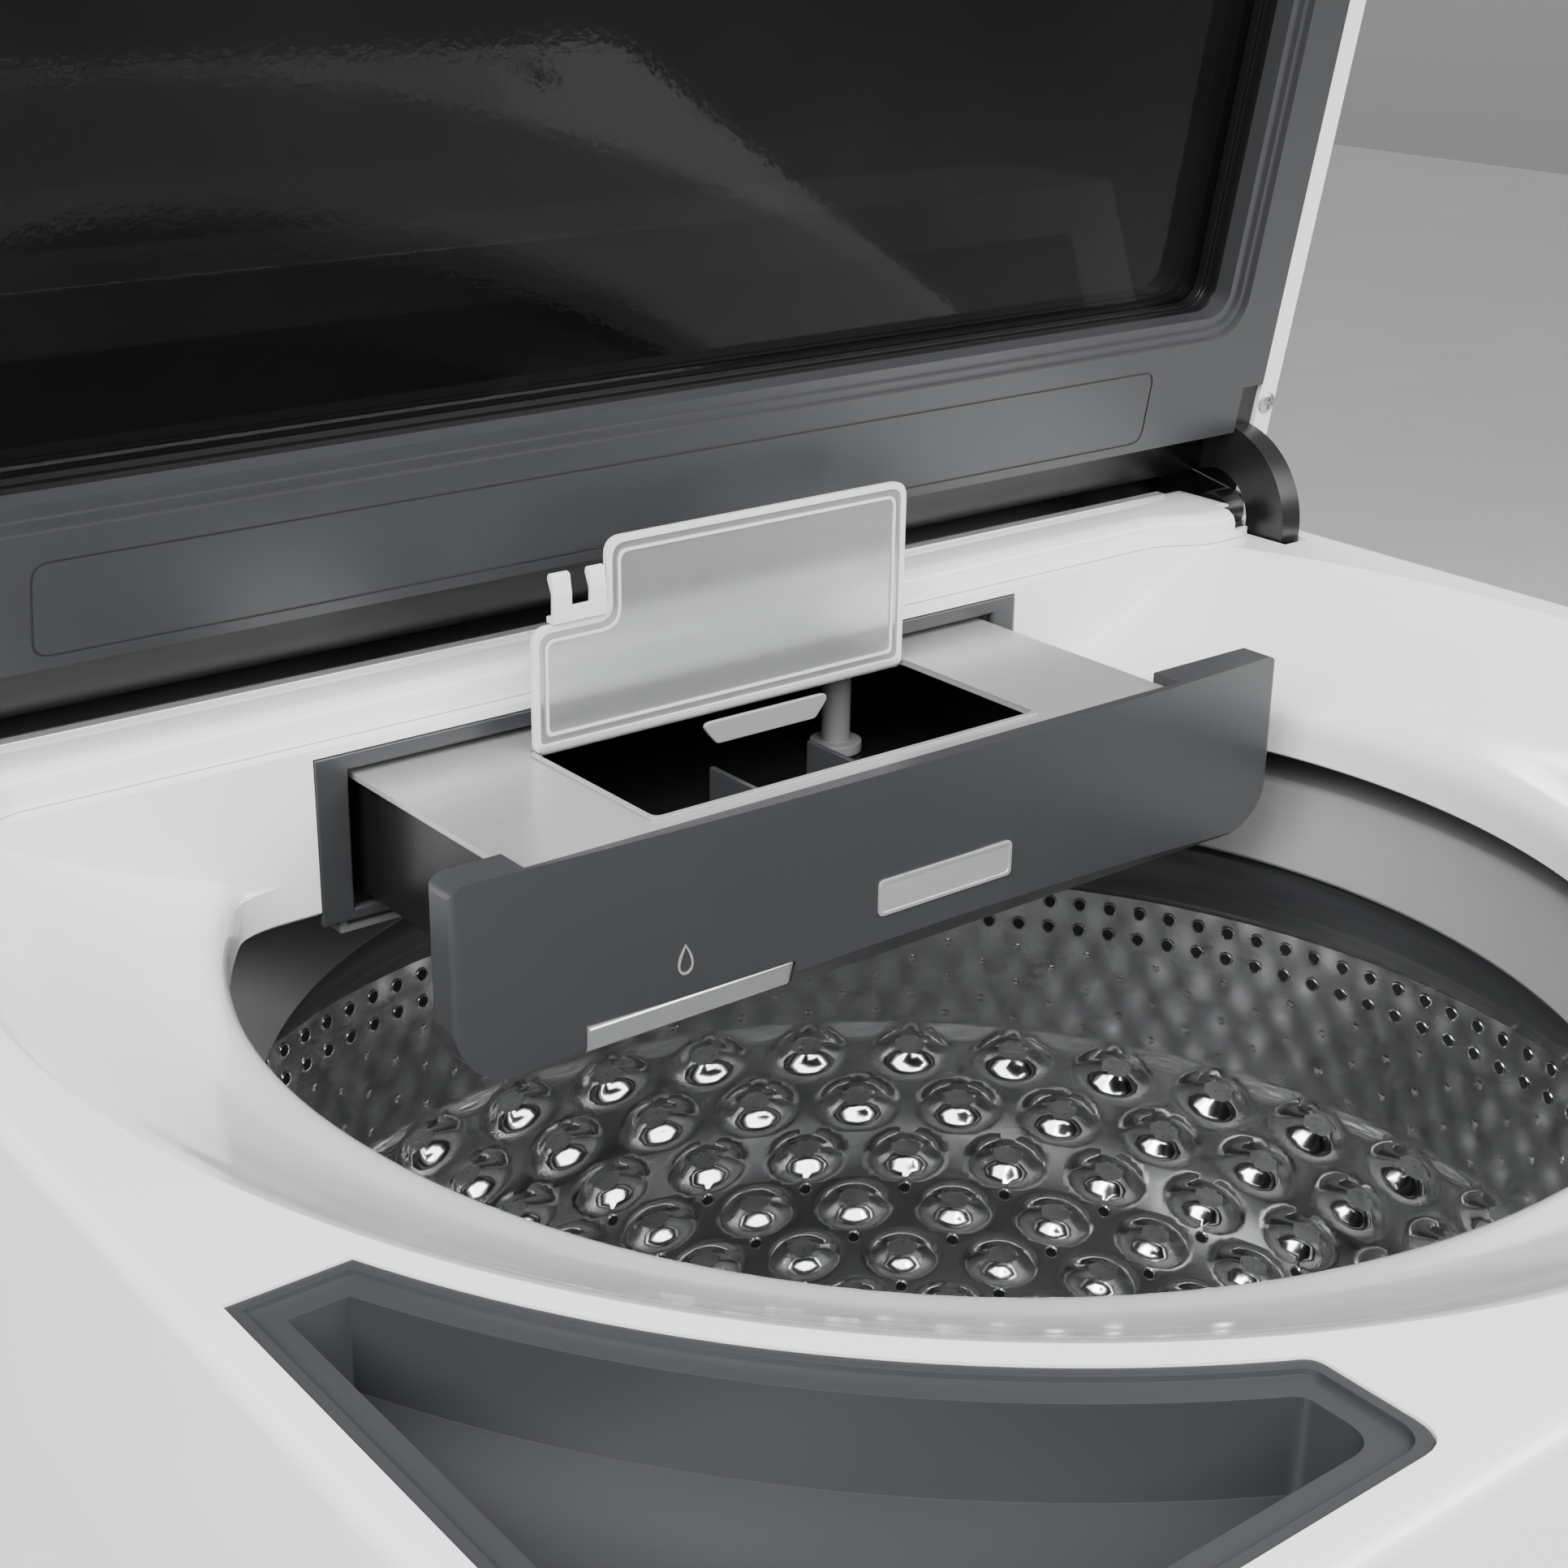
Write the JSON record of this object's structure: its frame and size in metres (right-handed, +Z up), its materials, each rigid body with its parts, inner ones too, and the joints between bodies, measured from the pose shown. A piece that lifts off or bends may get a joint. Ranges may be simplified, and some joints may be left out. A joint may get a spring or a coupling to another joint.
{
  "type": "top load washing machine",
  "caption": "Top load washing machine with a hinged glass lid, a pull-out detergent drawer with a flap, a dished top, a steel basket and a rear console.",
  "frame": {"origin": "on the floor, under the centre of the cabinet", "axes": "+Z up, front of the machine towards -Y, +X to the right as seen from the front"},
  "size_m": [0.692, 0.706, 1.4388],
  "materials": {
    "white_plastic": "gloss white moulding",
    "white_enamel": "white enamel on steel",
    "charcoal_plastic": "satin dark grey",
    "satin_plastic": "satin silver grey",
    "black_plastic": "black",
    "stainless_steel": "polished stainless",
    "zinc_steel": "zinc coated",
    "tinted_glass": "dark tinted",
    "frosted_plastic": "frosted clear",
    "grey_plastic": "mid grey",
    "foot_rubber": "black rubber",
    "bright_trim": "bright satin metal",
    "circuit_board": "green resin",
    "motor_copper": "varnished winding"
  },
  "bodies": {
    "machine": {"base_frame": "zinc_steel", "bearing_housing": "zinc_steel", "bleach_cup": "charcoal_plastic", "cabinet_shell": "white_enamel", "console_display": "tinted_glass", "console_housing": "white_plastic", "console_panel": "charcoal_plastic", "control_board": "circuit_board", "cord_gland": "black_plastic", "dispenser_frame": "charcoal_plastic", "dispenser_housing": "grey_plastic", "drain_port": "black_plastic", "drain_pump": "grey_plastic", "foot_front_left": "foot_rubber", "foot_front_right": "foot_rubber", "foot_rear_left": "foot_rubber", "foot_rear_right": "foot_rubber", "hinge_bracket_left": "zinc_steel", "hinge_bracket_right": "zinc_steel", "hinge_pin_left": "stainless_steel", "hinge_pin_right": "stainless_steel", "inlet_valve": "grey_plastic", "lid_lock": "black_plastic", "motor_stator": "motor_copper", "outer_tub": "grey_plastic", "rear_panel": "zinc_steel", "rear_trim": "white_plastic", "suspension_rod_front_left": "zinc_steel", "suspension_rod_front_right": "zinc_steel", "suspension_rod_rear_left": "zinc_steel", "suspension_rod_rear_right": "zinc_steel", "top_panel": "white_plastic", "tub_ring": "grey_plastic"},
    "lid": {"lid_shell": "white_plastic", "lid_inner_frame": "charcoal_plastic", "lid_gasket": "black_plastic", "lid_glass": "tinted_glass", "hinge_arm_left": "black_plastic", "hinge_arm_right": "black_plastic", "lid_strike": "zinc_steel"},
    "drawer": {"drawer_tray": "black_plastic", "drawer_top": "satin_plastic", "drawer_handle": "charcoal_plastic", "drawer_grip": "bright_trim", "siphon_post": "grey_plastic"},
    "flap": {"drawer_flap": "frosted_plastic", "flap_clip": "frosted_plastic"},
    "basket": {"wash_basket": "stainless_steel", "balance_ring": "charcoal_plastic", "spin_tube": "stainless_steel"},
    "agitator": {"wash_plate": "grey_plastic", "drive_shaft": "stainless_steel", "motor_rotor": "zinc_steel"},
    "knob": {"cycle_knob": "bright_trim"},
    "power_key": {"power_button": "satin_plastic"},
    "start_key": {"start_button": "satin_plastic"},
    "option_key_1": {"option_button_1": "satin_plastic"},
    "option_key_2": {"option_button_2": "satin_plastic"},
    "option_key_3": {"option_button_3": "satin_plastic"},
    "lock_bolt": {"lid_lock_bolt": "zinc_steel"}
  },
  "joints": [
    {"name": "lid_hinge", "type": "hinge", "parent": "machine", "child": "lid", "pos_m": [0, 0.159, 0.94], "axis": [-1, 0, 0], "range_deg": [-80, 0]},
    {"name": "drawer_slide", "type": "slide", "parent": "machine", "child": "drawer", "axis": [0, -1, 0], "range_m": [-0.014, 0]},
    {"name": "flap_hinge", "type": "hinge", "parent": "drawer", "child": "flap", "pos_m": [0, 0.12, 0.9205], "axis": [-1, 0, 0], "range_deg": [-90, 0]},
    {"name": "basket_spin", "type": "hinge", "parent": "machine", "child": "basket", "pos_m": [0, -0.013, 0.5], "axis": [0, 0, 1], "continuous": true},
    {"name": "wash_plate_spin", "type": "hinge", "parent": "machine", "child": "agitator", "pos_m": [0, -0.013, 0.31], "axis": [0, 0, 1], "continuous": true},
    {"name": "cycle_knob_turn", "type": "hinge", "parent": "machine", "child": "knob", "pos_m": [0, 0.2362, 1.0109], "axis": [0, -0.9336, 0.3584], "continuous": true},
    {"name": "power_button_press", "type": "slide", "parent": "machine", "child": "power_key", "axis": [0, -0.9336, 0.3584], "range_m": [-0.0015, 0], "stiffness_N_per_m": 800},
    {"name": "start_button_press", "type": "slide", "parent": "machine", "child": "start_key", "axis": [0, -0.9336, 0.3584], "range_m": [-0.0015, 0], "stiffness_N_per_m": 800},
    {"name": "option_button_1_press", "type": "slide", "parent": "machine", "child": "option_key_1", "axis": [0, -0.9336, 0.3584], "range_m": [-0.0015, 0], "stiffness_N_per_m": 800},
    {"name": "option_button_2_press", "type": "slide", "parent": "machine", "child": "option_key_2", "axis": [0, -0.9336, 0.3584], "range_m": [-0.0015, 0], "stiffness_N_per_m": 800},
    {"name": "option_button_3_press", "type": "slide", "parent": "machine", "child": "option_key_3", "axis": [0, -0.9336, 0.3584], "range_m": [-0.0015, 0], "stiffness_N_per_m": 800},
    {"name": "lock_bolt_slide", "type": "slide", "parent": "machine", "child": "lock_bolt", "axis": [1, 0, 0], "range_m": [-0.008, 0]}
  ],
  "couplings": [
    {"joint": "flap_hinge", "follows": "lid_hinge", "ratio": 1.125}
  ]
}
